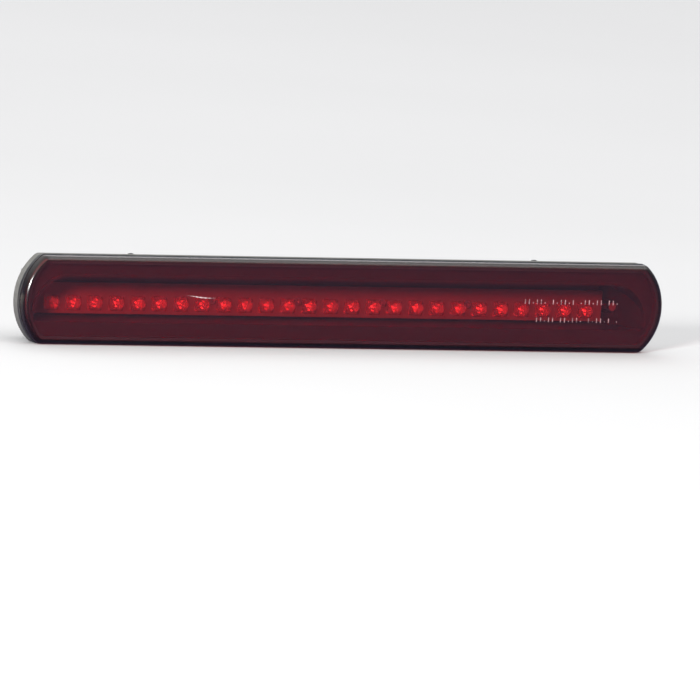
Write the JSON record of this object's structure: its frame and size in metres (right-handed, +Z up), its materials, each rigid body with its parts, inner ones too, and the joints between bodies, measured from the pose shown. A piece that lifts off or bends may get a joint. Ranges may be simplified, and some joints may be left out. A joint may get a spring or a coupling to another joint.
{
  "type": "third brake light",
  "caption": "Long low brake light with a dark red flat lens, rounded ends, a black tray behind it, a row of LEDs on a board and studs at the back.",
  "frame": {"origin": "middle of the face that seats on the vehicle panel, level with the middle of the stud pattern", "axes": "-Y is the way the lamp faces, +X runs along the lamp, +Z is up"},
  "size_m": [0.3806, 0.0514, 0.0456],
  "materials": {
    "lens": "dark red clear acrylic, glossy, lightly weathered",
    "bond": "black sealing adhesive",
    "housing": "black ABS, satin",
    "gasket": "grey closed-cell foam",
    "board": "pale glass-epoxy board with solder mask",
    "led_epoxy": "clear red epoxy, glossy",
    "leadframe": "tinned, bright",
    "chip": "gold-coloured",
    "solder": "bright solder",
    "resistor": "black ceramic chip",
    "component": "moulded black",
    "steel": "zinc plated",
    "inlet": "black nylon",
    "seal": "orange silicone",
    "brass": "plain brass",
    "potting": "black resin",
    "vent": "porous white plastic"
  },
  "bodies": {
    "root": {"outer_lens": "lens", "lens_bond": "bond", "housing": "housing", "mounting_gasket": "gasket", "led_board": "board", "led_bodies": "led_epoxy", "led_cathode_frames": "leadframe", "led_anode_frames": "leadframe", "led_chips": "chip", "solder_joints": "solder", "series_resistors": "resistor", "polarity_diode": "component", "surge_suppressor": "component", "board_screws": "steel", "mounting_studs": "steel", "stud_washers": "steel", "stud_nuts": "steel", "connector_shell": "inlet", "connector_seal": "seal", "connector_screws": "steel", "terminal_blades": "brass", "terminal_potting": "potting", "breather_plug": "vent"}
  },
  "joints": []
}
